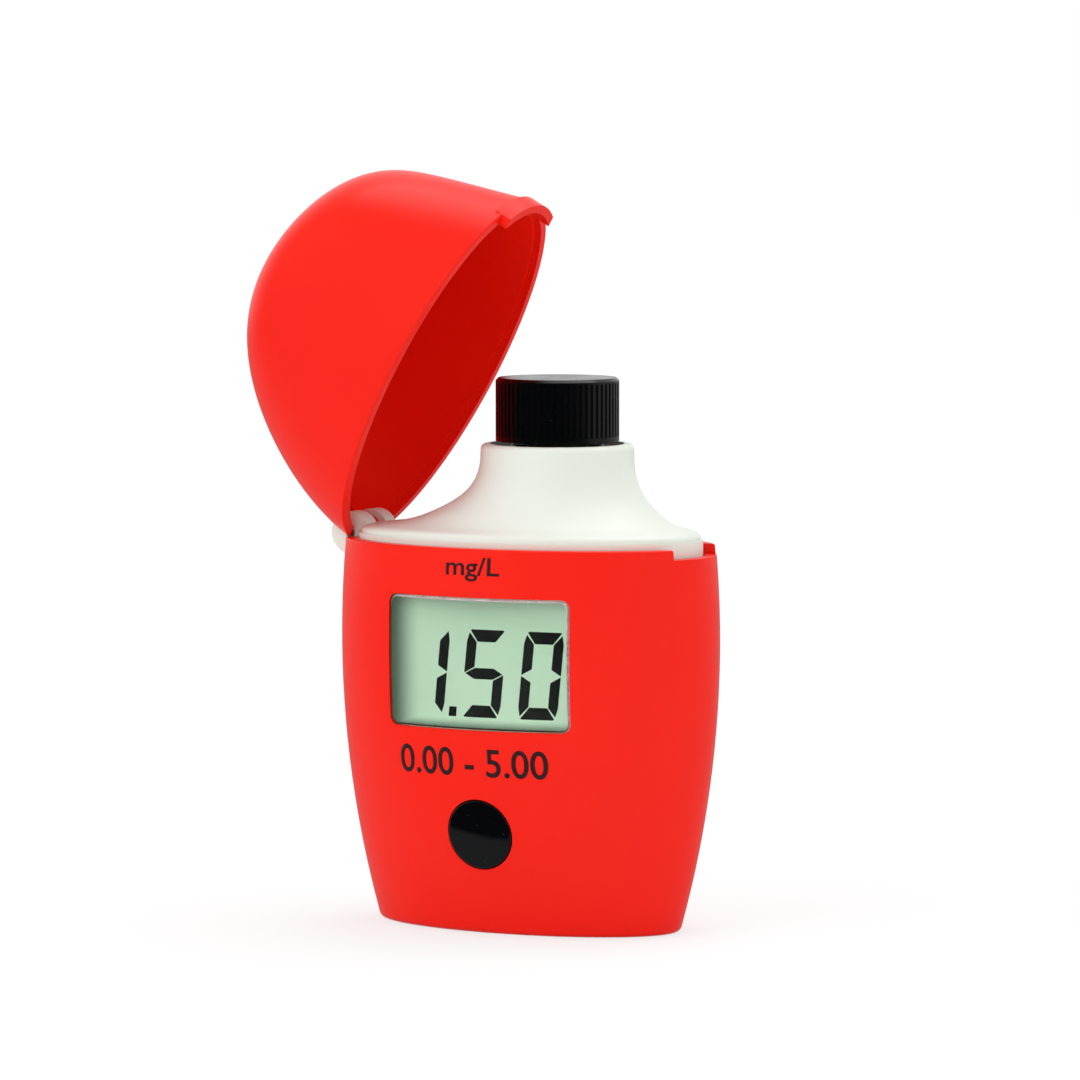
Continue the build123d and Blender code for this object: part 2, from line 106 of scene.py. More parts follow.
def placeAxes(tree, coordinates="Object"):
    # X, Y and Z of the place that is being shaded
    place = addNode(tree, "ShaderNodeTexCoord")
    split = addNode(tree, "ShaderNodeSeparateXYZ")
    return feed(tree, split, {"Vector": place.outputs[coordinates]}).outputs


def objectNoise(tree, scale, detail=2.0):
    place = addNode(tree, "ShaderNodeTexCoord")
    noise = addNode(tree, "ShaderNodeTexNoise")
    feed(tree, noise, {"Vector": place.outputs["Object"], "Scale": scale, "Detail": detail})
    return noise.outputs["Fac"]


usualNoise = (0.25, 0.75)      # between these lies nearly all of a noise


def spread(tree, noise, low=0.0, high=1.0):
    return mapRange(tree, noise, *usualNoise, low, high, "SMOOTHSTEP")


def newGroup(name, inputs, outputs):
    group = bpy.data.node_groups.new(name, "ShaderNodeTree")
    for key, value in inputs.items():
        kind = "NodeSocketColor" if isinstance(value, tuple) else "NodeSocketFloat"
        group.interface.new_socket(key, in_out="INPUT", socket_type=kind).default_value = value
    for key, kind in outputs.items():
        group.interface.new_socket(key, in_out="OUTPUT", socket_type=kind)
    return group, group.nodes.new("NodeGroupInput"), group.nodes.new("NodeGroupOutput")


# Fine grain of a moulded part: spark-eroded texture, slow waves in the gloss and a little tint
grainSet = {"Color": (0.8, 0.8, 0.8, 1.0), "Shade": (0.7, 0.7, 0.7, 1.0), "Grain Scale": 3200.0,
            "Grain Depth": 0.000004, "Smooth Roughness": 0.3, "Dull Roughness": 0.4,
            "Wave Scale": 45.0}
grainStrength = 0.6
waveDetail = 3.0


def buildMouldedGrain():
    group, given, out = newGroup("mouldedGrain", grainSet, {
        "Color": "NodeSocketColor", "Roughness": "NodeSocketFloat", "Normal": "NodeSocketVector"})
    take = given.outputs
    waves = objectNoise(group, take["Wave Scale"], waveDetail)
    bump = feed(group, addNode(group, "ShaderNodeBump"), {
        "Strength": grainStrength, "Distance": take["Grain Depth"],
        "Height": objectNoise(group, take["Grain Scale"])})
    feed(group, out, {
        "Color": mixColors(group, spread(group, waves), take["Color"], take["Shade"]),
        "Roughness": spread(group, waves, take["Smooth Roughness"], take["Dull Roughness"]),
        "Normal": bump.outputs["Normal"]})
    return group


# Sparse pale specks that gather in patches, as on anything black that is handled
specksSet = {"Color": (0.01, 0.01, 0.01, 1.0), "Dust": (0.2, 0.2, 0.2, 1.0), "Speck Scale": 900.0,
             "Speck Edge": 0.1, "Speck Core": 0.04, "Patch Scale": 220.0, "Amount": 0.5}


def buildDustSpecks():
    group, given, out = newGroup("dustSpecks", specksSet, {"Color": "NodeSocketColor"})
    take = given.outputs
    place = addNode(group, "ShaderNodeTexCoord")
    specks = feed(group, addNode(group, "ShaderNodeTexVoronoi"), {
        "Vector": place.outputs["Object"], "Scale": take["Speck Scale"]})
    near = mapRange(group, specks.outputs["Distance"], take["Speck Edge"], take["Speck Core"],
                    0.0, 1.0)
    patches = spread(group, objectNoise(group, take["Patch Scale"]))
    gathered = compute(group, "MULTIPLY", near, patches)
    amount = compute(group, "MULTIPLY", gathered, take["Amount"])
    feed(group, out, {"Color": mixColors(group, amount, take["Color"], take["Dust"])})
    return group


mouldedGrain = buildMouldedGrain()
dustSpecks = buildDustSpecks()


# Materials

def newMaterial(name):
    material = bpy.data.materials.new(name)
    material.use_nodes = True
    return material, material.node_tree, material.node_tree.nodes["Principled BSDF"]


def placeGroup(tree, group, values):
    return feed(tree, addNode(tree, "ShaderNodeGroup", node_tree=group), values).outputs


def grained(name, look, specular=0.5, metallic=0.0):
    # any plastic, rubber, ceramic or metal, with the grain of a moulded part
    material, tree, shader = newMaterial(name)
    grain = placeGroup(tree, mouldedGrain, look)
    feed(tree, shader, {
        "Base Color": grain["Color"], "Roughness": grain["Roughness"], "Normal": grain["Normal"],
        "Specular IOR Level": specular, "Metallic": metallic})
    return material


def twoTones(color, shade, smooth, dull):
    return {"Color": screenColor(*color), "Shade": screenColor(*shade),
            "Smooth Roughness": smooth, "Dull Roughness": dull}


redLook = {**twoTones((246, 29, 8), (243, 24, 6), 0.285, 0.345),
           "Grain Scale": 3000.0, "Grain Depth": 0.000005}
whiteLook = {**twoTones((231, 235, 226), (227, 232, 222), 0.34, 0.42),
             "Grain Scale": 2600.0, "Grain Depth": 0.000005}
frameLook = {**whiteLook, "Smooth Roughness": 0.5, "Dull Roughness": 0.6}
switchLook = twoTones((60, 60, 64), (50, 50, 54), 0.4, 0.5)
chipLook = {**twoTones((32, 32, 35), (26, 26, 28), 0.5, 0.6), "Grain Scale": 6000.0}
sealLook = twoTones((40, 40, 42), (32, 32, 34), 0.7, 0.85)
linerLook = {**twoTones((238, 238, 232), (224, 224, 216), 0.8, 0.9),
             "Grain Scale": 2000.0, "Grain Depth": 0.00004}
stripLook = {**twoTones((160, 104, 96), (96, 60, 58), 0.6, 0.75), "Wave Scale": 2400.0}
ceramicLook = twoTones((188, 166, 132), (170, 148, 116), 0.35, 0.5)
cellLook = twoTones((52, 52, 74), (42, 40, 62), 0.12, 0.2)

redPlastic = grained("redPlastic", redLook, specular=0.22)
whitePlastic = grained("whitePlastic", whiteLook, specular=0.3)
framePlastic = grained("framePlastic", frameLook)
switchPlastic = grained("switchPlastic", switchLook)
chipPlastic = grained("chipPlastic", chipLook)
sealRubber = grained("sealRubber", sealLook)
linerFoam = grained("linerFoam", linerLook)
stripRubber = grained("stripRubber", stripLook)
partCeramic = grained("partCeramic", ceramicLook)
cellDark = grained("cellDark", cellLook)


# Metals, whose slow waves are a fifth darker
steelSet = {"color": (200, 200, 198), "smooth": 0.28, "dull": 0.4, "grain": 5200.0}
nickelSet = {"color": (214, 210, 200), "smooth": 0.2, "dull": 0.26, "grain": 4200.0}
metalDepth = 0.000003
metalShade = 0.8


def metal(name, look):
    color = screenColor(*look["color"])
    return grained(name, {
        "Color": color, "Shade": scaledColor(color, metalShade), "Smooth Roughness": look["smooth"],
        "Dull Roughness": look["dull"], "Grain Scale": look["grain"], "Grain Depth": metalDepth},
        metallic=1.0)


steel = metal("screwSteel", steelSet)
nickel = metal("contactNickel", nickelSet)


# Glossy black of the cap and the button
capSet = {"color": (5, 6, 8), "roughness": 0.2, "specular": 0.32}
buttonSet = {"color": (5, 6, 8), "roughness": 0.035, "specular": 0.36}
blackSet = {"dust": (120, 122, 126), "amount": 0.25, "waves": 300.0, "duller": 1.35}


def blackGloss(name, look):
    material, tree, shader = newMaterial(name)
    worn = placeGroup(tree, dustSpecks, {
        "Color": screenColor(*look["color"]), "Dust": screenColor(*blackSet["dust"]),
        "Amount": blackSet["amount"]})
    smooth = look["roughness"]
    waves = objectNoise(tree, blackSet["waves"])
    feed(tree, shader, {
        "Base Color": worn["Color"], "Specular IOR Level": look["specular"],
        "Roughness": spread(tree, waves, smooth, smooth * blackSet["duller"])})
    return material


capBlack = blackGloss("capBlack", capSet)
buttonBlack = blackGloss("buttonBlack", buttonSet)


# Clear parts, with a little haze
clearSets = {
    "lensClear": {"color": (0.985, 0.995, 0.985, 1.0), "ior": 1.49, "roughness": 0.012},
    "cuvetteClear": {"color": (0.97, 0.99, 0.985, 1.0), "ior": 1.5, "roughness": 0.01},
    "lampClear": {"color": (0.95, 0.95, 0.9, 1.0), "ior": 1.5, "roughness": 0.03},
    "filterBlue": {"color": (0.2, 0.45, 0.85, 1.0), "ior": 1.52, "roughness": 0.01}}
hazeScale = 120.0
hazeLeast = 0.6


def clearMaterial(name):
    look = clearSets[name]
    material, tree, shader = newMaterial(name)
    rough = look["roughness"]
    haze = spread(tree, objectNoise(tree, hazeScale), rough * hazeLeast, rough)
    feed(tree, shader, {"Base Color": look["color"], "Transmission Weight": 1.0,
                        "IOR": look["ior"], "Roughness": haze})
    # clear to lamps as well, so that what lies behind it is lit
    through = addNode(tree, "ShaderNodeBsdfTransparent")
    feed(tree, through, {"Color": look["color"]})
    path = addNode(tree, "ShaderNodeLightPath")
    seen = blendShaders(tree, path.outputs["Is Shadow Ray"], shader.outputs["BSDF"],
                        through.outputs["BSDF"])
    feed(tree, tree.nodes["Material Output"], {"Surface": seen})
    return material


lensClear = clearMaterial("lensClear")
cuvetteClear = clearMaterial("cuvetteClear")
lampClear = clearMaterial("lampClear")
filterBlue = clearMaterial("filterBlue")


# Pale green display: fine grain of the reflector, and painted shade along its left and bottom
# edges, where the casing throws shade
# glow is a painted glow, which brightens the display
displaySet = {"bright": (197, 229, 200), "grain": (202, 232, 206), "cloud": (192, 227, 195),
              "shade": (78, 106, 86), "leftShade": 5.2, "bottomShade": 1.6, "depth": 0.85,
              "grainScale": 5200.0, "grainDetail": 4.0, "cloudScale": 70.0, "clouds": 0.5,
              "glow": 0.32, "roughness": 0.55, "specular": 0.2}


def displayMaterial():
    look = displaySet
    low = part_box("display_window")[0]
    material, tree, shader = newMaterial("displayGreen")
    sparkle = spread(tree, objectNoise(tree, look["grainScale"], look["grainDetail"]))
    clouds = spread(tree, objectNoise(tree, look["cloudScale"]), 0.0, look["clouds"])
    fine = mixColors(tree, sparkle, screenColor(*look["bright"]), screenColor(*look["grain"]))
    broad = mixColors(tree, clouds, fine, screenColor(*look["cloud"]))
    axes = placeAxes(tree)
    # painted shade: the display is darker towards its left and bottom edges
    left = mapRange(tree, axes["X"], low.x, low.x + look["leftShade"] * mm,
                    look["depth"], 0.0, "SMOOTHSTEP")
    bottom = mapRange(tree, axes["Z"], low.z, low.z + look["bottomShade"] * mm,
                      look["depth"], 0.0, "SMOOTHSTEP")
    paintedShadeShare = compute(tree, "MAXIMUM", left, bottom)
    color = mixColors(tree, paintedShadeShare, broad, screenColor(*look["shade"]))
    feed(tree, shader, {
        "Base Color": color, "Emission Color": color,
        "Emission Strength": look["glow"],      # painted glow: the display gives off a little light in its own colour
        "Roughness": look["roughness"], "Specular IOR Level": look["specular"]})
    return material


# Ink of the figures and of the print, with slightly paler patches
inkSet = {"patches": 1800.0, "paler": 1.25, "roughness": 0.45, "specular": 0.3}
digitColor = (3, 11, 7)
printColor = (54, 24, 27)


def inkMaterial(name, seen):
    material, tree, shader = newMaterial(name)
    color = screenColor(*seen)
    patches = spread(tree, objectNoise(tree, inkSet["patches"]))
    feed(tree, shader, {
        "Base Color": mixColors(tree, patches, color, scaledColor(color, inkSet["paler"])),
        "Roughness": inkSet["roughness"], "Specular IOR Level": inkSet["specular"]})
    return material


# Solder resist with darker and lighter strips where tracks run under it
boardSet = {"dark": (22, 96, 58), "light": (26, 108, 64), "between": (52, 138, 84), "gap": 0.03,
            "scale": 160.0, "relief": 0.03, "roughness": 0.3}


def boardMaterial():
    look = boardSet
    material, tree, shader = newMaterial("boardGreen")
    place = addNode(tree, "ShaderNodeTexCoord")
    upright = feed(tree, addNode(tree, "ShaderNodeMapping"), {
        "Vector": place.outputs["Object"], "Rotation": (math.radians(90), 0, 0)})
    tracks = feed(tree, addNode(tree, "ShaderNodeTexBrick"), {
        "Vector": upright.outputs["Vector"], "Scale": look["scale"], "Mortar Size": look["gap"],
        "Color1": screenColor(*look["dark"]), "Color2": screenColor(*look["light"]),
        "Mortar": screenColor(*look["between"])})
    bump = feed(tree, addNode(tree, "ShaderNodeBump"), {
        "Distance": look["relief"] * mm, "Height": tracks.outputs["Fac"]})
    feed(tree, shader, {"Base Color": tracks.outputs["Color"], "Normal": bump.outputs["Normal"],
                        "Roughness": look["roughness"]})
    return material


# Plain wrap of the battery: blue, with a pale band at its upper end and grey metal at both ends
wrapSet = {"stops": ((0.0, (176, 180, 184)), (0.035, (44, 84, 140)), (0.7, (205, 208, 212)),
                     (0.955, (176, 180, 184))),
           "roughness": 0.3, "metallic": 0.35}


def cellWrap():
    low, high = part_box("battery")
    material, tree, shader = newMaterial("cellWrap")
    band = addNode(tree, "ShaderNodeValToRGB")
    band.color_ramp.interpolation = "CONSTANT"
    elements = band.color_ramp.elements
    elements.remove(elements[-1])
    for index, (position, color) in enumerate(wrapSet["stops"]):
        element = elements[0] if index == 0 else elements.new(position)
        element.position = position
        element.color = screenColor(*color)
    share = mapRange(tree, placeAxes(tree)["Z"], low.z, high.z, 0.0, 1.0)
    feed(tree, band, {"Fac": share})
    feed(tree, shader, {"Base Color": band.outputs["Color"], "Roughness": wrapSet["roughness"],
                        "Metallic": wrapSet["metallic"]})
    return material


displayGreen = displayMaterial()
board = boardMaterial()
digitInk = inkMaterial("digitInk", digitColor)
casingInk = inkMaterial("casingInk", printColor)

finishes = {
    "body_shell": redPlastic, "lid": redPlastic, "battery_cover": redPlastic,
    "chassis": whitePlastic, "cuvette": cuvetteClear, "cuvette_cap": capBlack,
    "cap_liner": linerFoam, "well_seal": sealRubber, "display_window": lensClear,
    "lcd_glass": displayGreen, "lcd_frame": framePlastic, "lcd_contact_strips": stripRubber,
    "main_board": board, "detector_board": board, "board_chip": chipPlastic,
    "board_small_parts": partCeramic, "button": buttonBlack, "tact_switch": switchPlastic,
    "switch_plunger": switchPlastic, "light_source": lampClear, "optical_filter": filterBlue,
    "photocell": cellDark, "battery": cellWrap(), "battery_sleeve": framePlastic,
    "battery_top_contact": nickel, "battery_leaf_contact": nickel, "hinge_pin": steel,
    "board_screws": steel, "chassis_screws": steel, "battery_cover_screw": steel}
for nodeName, finish in finishes.items():
    for slot in nodes[nodeName].material_slots:
        slot.material = finish
    if not nodes[nodeName].material_slots:
        nodes[nodeName].data.materials.append(finish)
print("materials placed on", len(finishes), "nodes")


# Mesh helpers

def finishMesh(name, mesh, material, body):
    mesh.materials.clear()
    mesh.materials.append(material)
    piece = bpy.data.objects.new(name, mesh)
    scene.collection.objects.link(piece)
    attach(piece, body)
    return piece


def meshFrom(name, form):
    mesh = bpy.data.meshes.new(name)
    form.to_mesh(mesh)
    form.free()
    return mesh


def thicken(form, thickness):
    # raises the flat faces of a form towards -Y, so that they become thin closed slabs
    front = bmesh.ops.extrude_face_region(form, geom=list(form.faces))
    for item in front["geom"]:
        if isinstance(item, bmesh.types.BMVert):
            item.co.y -= thickness
    bmesh.ops.recalc_face_normals(form, faces=form.faces)


def frontOf(nodeName, x, z):
    # how far forward the node's front lies at this place
    before = -100 * mm
    found, place, _, _ = nodes[nodeName].ray_cast(Vector((x, before, z)), Vector((0, 1, 0)))
    if not found:
        raise ValueError("nothing of " + nodeName + " lies there")
    return place.y


# Seven-segment figures on the display
digitSet = {"height": 12.7, "width": 6.1, "pitch": 8.86, "firstLeft": -12.08, "bottom": 32.2,
            "slant": 5.7, "stroke": 1.6, "bar": 1.75, "gap": 0.15, "corner": 0.3, "ink": 0.025,
            "pointWidth": 1.2, "pointHeight": 1.4, "pointLeft": -5.15}
litSegments = ("bc", "afgcd", "abcdef")


def segmentOutlines(look):
    # outlines of the seven bars in one upright digit, from its lower left corner
    wide, tall = look["width"], look["height"]
    stroke, bar, gap, corner = look["stroke"], look["bar"], look["gap"] / 2, look["corner"]
    middle = tall / 2
    half = bar / 2
    side = [(0, middle + gap), (stroke - gap, middle + half + gap),
            (stroke - gap, tall - bar - gap), (corner, tall - corner - 2 * gap), (0, tall - bar)]
    top = [(corner + 2 * gap, tall - corner / 2), (corner + 4 * gap, tall),
           (wide - corner - 4 * gap, tall), (wide - corner - 2 * gap, tall - corner / 2),
           (wide - stroke - gap, tall - bar), (stroke + gap, tall - bar)]
    bridge = [(2 * gap, middle), (stroke, middle + half - gap),
              (wide - stroke, middle + half - gap), (wide - 2 * gap, middle),
              (wide - stroke, middle - half + gap), (stroke, middle - half + gap)]

    def turned(points, flipX, flipZ):
        return [(wide - x if flipX else x, tall - z if flipZ else z) for x, z in points]

    return {"f": side, "b": turned(side, True, False), "e": turned(side, False, True),
            "c": turned(side, True, True), "a": top, "d": turned(top, False, True), "g": bridge}


def makeDigits():
    look = digitSet
    lean = math.tan(math.radians(look["slant"]))
    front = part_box("lcd_glass")[0].y
    outlines = segmentOutlines(look)
    form = bmesh.new()

    def addOutline(points, left):
        corners = []
        for x, z in points:
            place = ((left + x + z * lean) * mm, front, (look["bottom"] + z) * mm)
            corners.append(form.verts.new(place))
        form.faces.new(corners)

    for index, lit in enumerate(litSegments):
        for letter in lit:
            addOutline(outlines[letter], look["firstLeft"] + index * look["pitch"])
    wide, tall = look["pointWidth"], look["pointHeight"]
    addOutline([(0, 0), (wide, 0), (wide, tall), (0, tall)], look["pointLeft"])
    thicken(form, look["ink"] * mm)
    mesh = meshFrom("displayDigits", form)
    return finishMesh("displayDigits", mesh, digitInk, "casing")


makeDigits()


# Words printed on the casing, laid on its curved front
printSets = {
    "unitPrint": {"words": "mg/L", "x": 0.0, "z": 53.9, "height": 3.5, "width": 8.7},
    "rangePrint": {"words": "0.00 - 5.00", "x": -0.8, "z": 25.7, "height": 4.2, "width": 24.4}}
inkLayer = {"proud": 0.015, "bite": 0.02, "fatter": 0.012, "roundness": 6,
            "longest": 0.7, "halvings": 4}      # edges are halved, so that the print bends


def letterMesh(words):
    curve = bpy.data.curves.new("letters", "FONT")
    curve.body = words
    curve.resolution_u = inkLayer["roundness"]
    curve.offset = inkLayer["fatter"]
    holder = bpy.data.objects.new("letters", curve)
    scene.collection.objects.link(holder)
    bpy.context.view_layer.update()
    mesh = bpy.data.meshes.new_from_object(holder)
    bpy.data.objects.remove(holder)
    return mesh


def makePrint(name, look):
    mesh = letterMesh(look["words"])
    form = bmesh.new()
    form.from_mesh(mesh)
    bmesh.ops.remove_doubles(form, verts=form.verts, dist=0.01 * mm)
    lowX, highX = (pick(vert.co.x for vert in form.verts) for pick in (min, max))
    lowY, highY = (pick(vert.co.y for vert in form.verts) for pick in (min, max))
    for vert in form.verts:
        across = (vert.co.x - lowX) / (highX - lowX) - 0.5
        up = (vert.co.y - lowY) / (highY - lowY) - 0.5
        vert.co = Vector(((look["x"] + across * look["width"]) * mm, 0,
                          (look["z"] + up * look["height"]) * mm))
    for _ in range(inkLayer["halvings"]):
        long = [edge for edge in form.edges if edge.calc_length() > inkLayer["longest"] * mm]
        if long:
            bmesh.ops.subdivide_edges(form, edges=long, cuts=1)
            bmesh.ops.triangulate(form, faces=form.faces)
    for vert in form.verts:
        vert.co.y = frontOf("body_shell", vert.co.x, vert.co.z) + inkLayer["bite"] * mm
    thicken(form, (inkLayer["bite"] + inkLayer["proud"]) * mm)
    form.to_mesh(mesh)
    form.free()
    return finishMesh(name, mesh, casingInk, "casing")


for name, look in printSets.items():
    makePrint(name, look)
print("digits and prints made")


# Thin ring on the bevelled edge of the lens, with a painted highlight at the top and right and
# painted shade at the left and bottom
edgeLightAndShadeSet = {"corner": 1.36, "outside": 0.05, "width": 0.3, "proud": 0.015, "bite": 0.015,
               "cornerSteps": 6, "sideSteps": 14, "sideLeast": 4.0, "pale": (252, 244, 247),
               "dark": (62, 84, 70), "turn": 0.12, "flecks": 1500.0, "fleckLeast": 0.6,
               "roughness": 0.3}


def roundedOutline(low, high, inset, look):
    # points round a rectangle with rounded corners, in metres, from the right edge at the top
    corner = look["corner"] * mm
    radius = corner - inset * mm
    middles = [(high.x - corner, high.z - corner, 0), (low.x + corner, high.z - corner, 90),
               (low.x + corner, low.z + corner, 180), (high.x - corner, low.z + corner, 270)]
    points = []
    for x, z, start in middles:
        for step in range(look["cornerSteps"] + 1):
            angle = math.radians(start + 90 * step / look["cornerSteps"])
            points.append((x + radius * math.cos(angle), z + radius * math.sin(angle)))
    full = []
    for first, second in zip(points, points[1:] + points[:1]):
        isSide = math.dist(first, second) > look["sideLeast"] * mm
        parts = look["sideSteps"] if isSide else 1
        for step in range(parts):
            share = step / parts
            full.append(tuple(a + (b - a) * share for a, b in zip(first, second)))
    return full


def edgeLightAndShadeMaterial(look, low, high):
    material, tree, shader = newMaterial("lensEdgeLightAndShade")
    axes = placeAxes(tree)
    across = mapRange(tree, axes["X"], low.x, high.x, -0.5, 0.5)
    up = mapRange(tree, axes["Z"], low.z, high.z, -0.5, 0.5)
    # side is 0 at the lower left and 1 at the upper right, where the painted highlight lies
    side = mapRange(tree, compute(tree, "ADD", across, up), -look["turn"], look["turn"],
                    0.0, 1.0, "SMOOTHSTEP")
    flecks = spread(tree, objectNoise(tree, look["flecks"]), look["fleckLeast"], 1.0)
    light = compute(tree, "MULTIPLY", side, flecks)
    # pale is the painted highlight, dark the painted shade
    color = mixColors(tree, light, screenColor(*look["dark"]), screenColor(*look["pale"]))
    feed(tree, shader, {"Base Color": color, "Roughness": look["roughness"]})
    return material


def makeEdgeLightAndShade():
    look = edgeLightAndShadeSet
    low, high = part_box("display_window")
    form = bmesh.new()
    rings = []
    for inset in (look["outside"], look["outside"] + look["width"]):
        ring = []
        for x, z in roundedOutline(low, high, inset, look):
            front = frontOf("display_window", x, z)
            ring.append(form.verts.new((x, front + look["bite"] * mm, z)))
        rings.append(ring)
    outer, inner = rings
    for index in range(len(outer)):
        after = (index + 1) % len(outer)
        form.faces.new((outer[index], outer[after], inner[after], inner[index]))
    thicken(form, (look["bite"] + look["proud"]) * mm)
    mesh = meshFrom("lensEdgeLightAndShade", form)
    return finishMesh("lensEdgeLightAndShade", mesh, edgeLightAndShadeMaterial(look, low, high), "casing")


makeEdgeLightAndShade()
print("lens edge made")


# Geometry Nodes helpers

def newTree(name, inputs):
    tree = bpy.data.node_groups.new(name, "GeometryNodeTree")
    sockets = tree.interface
    sockets.new_socket("Geometry", in_out="INPUT", socket_type="NodeSocketGeometry")
    for key in inputs:
        sockets.new_socket(key, in_out="INPUT", socket_type="NodeSocketFloat")
    sockets.new_socket("Material", in_out="INPUT", socket_type="NodeSocketMaterial")
    sockets.new_socket("Geometry", in_out="OUTPUT", socket_type="NodeSocketGeometry")
    return tree, tree.nodes.new("NodeGroupInput"), tree.nodes.new("NodeGroupOutput")


def closeTree(tree, given, out, part):
    # one copy of the part at each point, made real and painted
    placed = feed(tree, addNode(tree, "GeometryNodeInstanceOnPoints"), {
        "Points": given.outputs["Geometry"], "Instance": part})
    real = feed(tree, addNode(tree, "GeometryNodeRealizeInstances"), {
        "Geometry": placed.outputs["Instances"]})
    painted = feed(tree, addNode(tree, "GeometryNodeSetMaterial"), {
        "Geometry": real.outputs["Geometry"], "Material": given.outputs["Material"]})
    feed(tree, out, {"Geometry": painted.outputs["Geometry"]})


def runTree(name, tree, points, values, material):
    # runs a tree on a mesh that holds only points, and returns the finished plain mesh
    seed = bpy.data.meshes.new(name + "Points")
    seed.from_pydata([tuple(point) for point in points], [], [])
    holder = bpy.data.objects.new(name + "Holder", seed)
    scene.collection.objects.link(holder)
    modifier = holder.modifiers.new("shape", "NODES")
    modifier.node_group = tree
    values = {**values, "Material": material}
    for item in tree.interface.items_tree:
        if item.in_out == "INPUT" and item.name in values:
            modifier[item.identifier] = values[item.name]
    bpy.context.view_layer.update()
    evaluated = holder.evaluated_get(bpy.context.evaluated_depsgraph_get())
    mesh = bpy.data.meshes.new_from_object(evaluated)
    mesh.name = name
    bpy.data.objects.remove(holder)
    return mesh


def vectorOf(tree, x=0.0, y=0.0, z=0.0):
    node = addNode(tree, "ShaderNodeCombineXYZ")
    return feed(tree, node, {"X": x, "Y": y, "Z": z}).outputs["Vector"]


def moved(tree, part, values):
    node = addNode(tree, "GeometryNodeTransform")
    return feed(tree, node, {"Geometry": part, **values}).outputs["Geometry"]


def joined(tree, parts):
    node = addNode(tree, "GeometryNodeJoinGeometry")
    for part in parts:
        feed(tree, node, {"Geometry": part})
    return node.outputs["Geometry"]


# A thread: a six-sided rod that climbs along a helix, half sunk in what it is cut on
threadSides = 6


def threadPart(tree, radius, turns, climb, ridge, steps):
    # steps are for each turn
    helix = feed(tree, addNode(tree, "GeometryNodeCurveSpiral"), {
        "Resolution": steps, "Rotations": turns, "Start Radius": radius, "End Radius": radius,
        "Height": climb})
    rod = feed(tree, addNode(tree, "GeometryNodeCurvePrimitiveCircle"), {
        "Resolution": threadSides, "Radius": ridge})
    sweep = feed(tree, addNode(tree, "GeometryNodeCurveToMesh"), {
        "Curve": helix.outputs["Curve"], "Profile Curve": rod.outputs["Curve"],
        "Fill Caps": True})
    return sweep.outputs["Mesh"]


# A countersunk screw, head down, with a cross recess and a threaded shank
screwSets = {
    "chassisScrews": {"node": "chassis_screws", "body": "casing", "radius": 2.1, "head": 1.1,
                      "shank": 1.1, "recess": 0.55, "turns": 7.0, "upright": True},
    "coverScrew": {"node": "battery_cover_screw", "body": "battery_cover", "radius": 1.8,
                   "head": 0.8, "shank": 1.0, "recess": 0.5, "turns": 6.0, "upright": True},
    "boardScrews": {"node": "board_screws", "body": "casing", "radius": 1.6, "head": 0.9,
                    "shank": 0.75, "recess": 0.4, "turns": 6.0, "upright": False}}
# shares of the head's radius and depth, and of the shank's radius and length
screwShares = {"recessReach": 1.25, "recessDepth": 1.2, "core": 0.8, "threadLine": 0.88,
               "ridge": 0.1, "threadLength": 0.9}
screwSteps = {"head": 40, "shank": 24, "thread": 20}


def buildScrewTree():
    tree, given, out = newTree("crossScrew", (
        "Head Radius", "Head Depth", "Shank Radius", "Shank Length", "Recess", "Thread Turns",
        "Tilt"))
    take = given.outputs
    share = screwShares

    def part(key, factor):
        return compute(tree, "MULTIPLY", take[key], factor)

    head = feed(tree, addNode(tree, "GeometryNodeMeshCone"), {
        "Vertices": screwSteps["head"], "Radius Top": take["Shank Radius"],
        "Radius Bottom": take["Head Radius"], "Depth": take["Head Depth"]})
    reach = part("Head Radius", share["recessReach"])
    depth = part("Head Depth", share["recessDepth"])
    bars = []
    for x, y in ((reach, take["Recess"]), (take["Recess"], reach)):
        bar = addNode(tree, "GeometryNodeMeshCube")
        feed(tree, bar, {"Size": vectorOf(tree, x, y, depth)})
        bars.append(bar.outputs["Mesh"])
    recessed = addNode(tree, "GeometryNodeMeshBoolean", operation="DIFFERENCE", solver="EXACT")
    feed(tree, recessed, {"Mesh 1": head.outputs["Mesh"], "Mesh 2": joined(tree, bars),
                          "Self Intersection": True})
    core = feed(tree, addNode(tree, "GeometryNodeMeshCylinder"), {
        "Vertices": screwSteps["shank"], "Radius": part("Shank Radius", share["core"]),
        "Depth": take["Shank Length"]})
    middle = compute(tree, "ADD", take["Head Depth"], part("Shank Length", 0.5))
    shank = moved(tree, core.outputs["Mesh"], {"Translation": vectorOf(tree, z=middle)})
    wound = threadPart(tree, part("Shank Radius", share["threadLine"]), take["Thread Turns"],
                       part("Shank Length", share["threadLength"]),
                       part("Shank Radius", share["ridge"]), screwSteps["thread"])
    thread = moved(tree, wound, {"Translation": vectorOf(tree, z=take["Head Depth"])})
    screw = joined(tree, (thread, shank, recessed.outputs["Mesh"]))
    tilted = moved(tree, screw, {"Rotation": vectorOf(tree, x=take["Tilt"])})
    closeTree(tree, given, out, tilted)
    return tree


def screwPlaces(look, low, high):
    # one screw at each end of the node's box, or one in the middle of it
    middle = (low + high) / 2
    radius = look["radius"] * mm
    if look["node"] == "battery_cover_screw":
        return [(middle.x, middle.y, low.z)]
    if look["upright"]:
        return [(middle.x, low.y + radius, low.z), (middle.x, high.y - radius, low.z)]
    return [(low.x + radius, low.y, middle.z), (high.x - radius, low.y, middle.z)]


